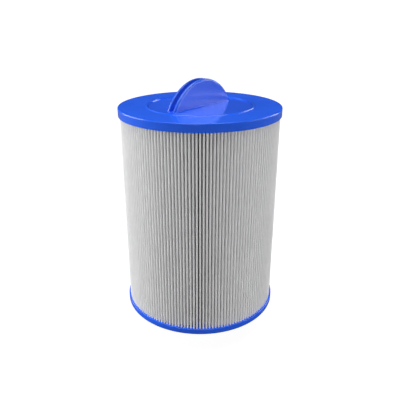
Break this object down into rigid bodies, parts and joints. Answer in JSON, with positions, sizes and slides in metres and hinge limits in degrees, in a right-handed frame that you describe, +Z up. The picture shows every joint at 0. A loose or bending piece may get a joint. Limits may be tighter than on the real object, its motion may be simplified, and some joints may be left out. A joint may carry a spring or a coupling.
{
  "type": "pleated filter cartridge",
  "caption": "Cylindrical pleated water filter cartridge with cast end caps, a half-moon grip on its closed end and a threaded outlet below.",
  "frame": {"origin": "centre of the threaded outlet's lower end, at the bottom of the part's box", "axes": "+Z up along the cartridge's axis, +X along the half-moon grip, with the sheet's seam on the +X side"},
  "size_m": [0.152, 0.152, 0.254],
  "materials": {
    "cap_resin": "gloss",
    "grip_plastic": "gloss",
    "filter_media": "matte",
    "seam_adhesive": "satin",
    "core_plastic": "satin",
    "outlet_plastic": "satin"
  },
  "bodies": {
    "root": {"top_end_cap": "cap_resin", "grip_insert": "grip_plastic", "pleated_media": "filter_media", "media_seam": "seam_adhesive", "core_upper": "core_plastic", "core_lower": "core_plastic", "bottom_end_cap": "cap_resin", "threaded_outlet": "outlet_plastic"}
  },
  "joints": []
}
